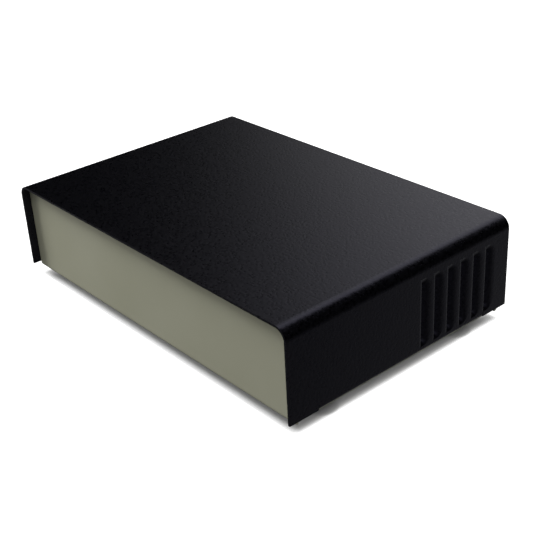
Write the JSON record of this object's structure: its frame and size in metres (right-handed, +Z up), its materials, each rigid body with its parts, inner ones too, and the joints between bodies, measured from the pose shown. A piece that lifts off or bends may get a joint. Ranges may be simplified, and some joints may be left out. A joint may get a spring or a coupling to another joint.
{
  "type": "metal project enclosure",
  "caption": "Low desktop instrument case: folded black cover with louvred sides over a U-shaped chassis whose pale ends form blank front and rear panels.",
  "frame": {"origin": "middle of the case on the plane that its feet stand on", "axes": "+X to the right of someone facing the front panel, +Y from the front panel to the rear one, +Z up"},
  "size_m": [0.2286, 0.1534, 0.0584],
  "materials": {
    "cover_paint": "black powder coat, fine texture, low sheen",
    "chassis_paint": "olive beige enamel, satin",
    "spring_steel": "dark phosphated spring steel",
    "black_screws": "black zinc plated steel",
    "zinc_steel": "bright zinc plated steel",
    "rubber": "matt black moulded rubber"
  },
  "bodies": {
    "chassis_body": {"chassis": "chassis_paint", "cover_screw_front_left": "black_screws", "cover_screw_front_right": "black_screws", "cover_screw_rear_left": "black_screws", "cover_screw_rear_right": "black_screws", "foot_front_left": "rubber", "foot_front_right": "rubber", "foot_rear_left": "rubber", "foot_rear_right": "rubber", "foot_screw_front_left": "zinc_steel", "foot_screw_front_right": "zinc_steel", "foot_screw_rear_left": "zinc_steel", "foot_screw_rear_right": "zinc_steel", "foot_nut_front_left": "zinc_steel", "foot_nut_front_right": "zinc_steel", "foot_nut_rear_left": "zinc_steel", "foot_nut_rear_right": "zinc_steel"},
    "cover_body": {"cover": "cover_paint", "clip_nut_front_left": "spring_steel", "clip_nut_front_right": "spring_steel", "clip_nut_rear_left": "spring_steel", "clip_nut_rear_right": "spring_steel"}
  },
  "joints": [
    {"name": "cover_lift", "type": "slide", "parent": "chassis_body", "child": "cover_body", "axis": [0, 0, 1], "range_m": [0, 0.075]}
  ]
}
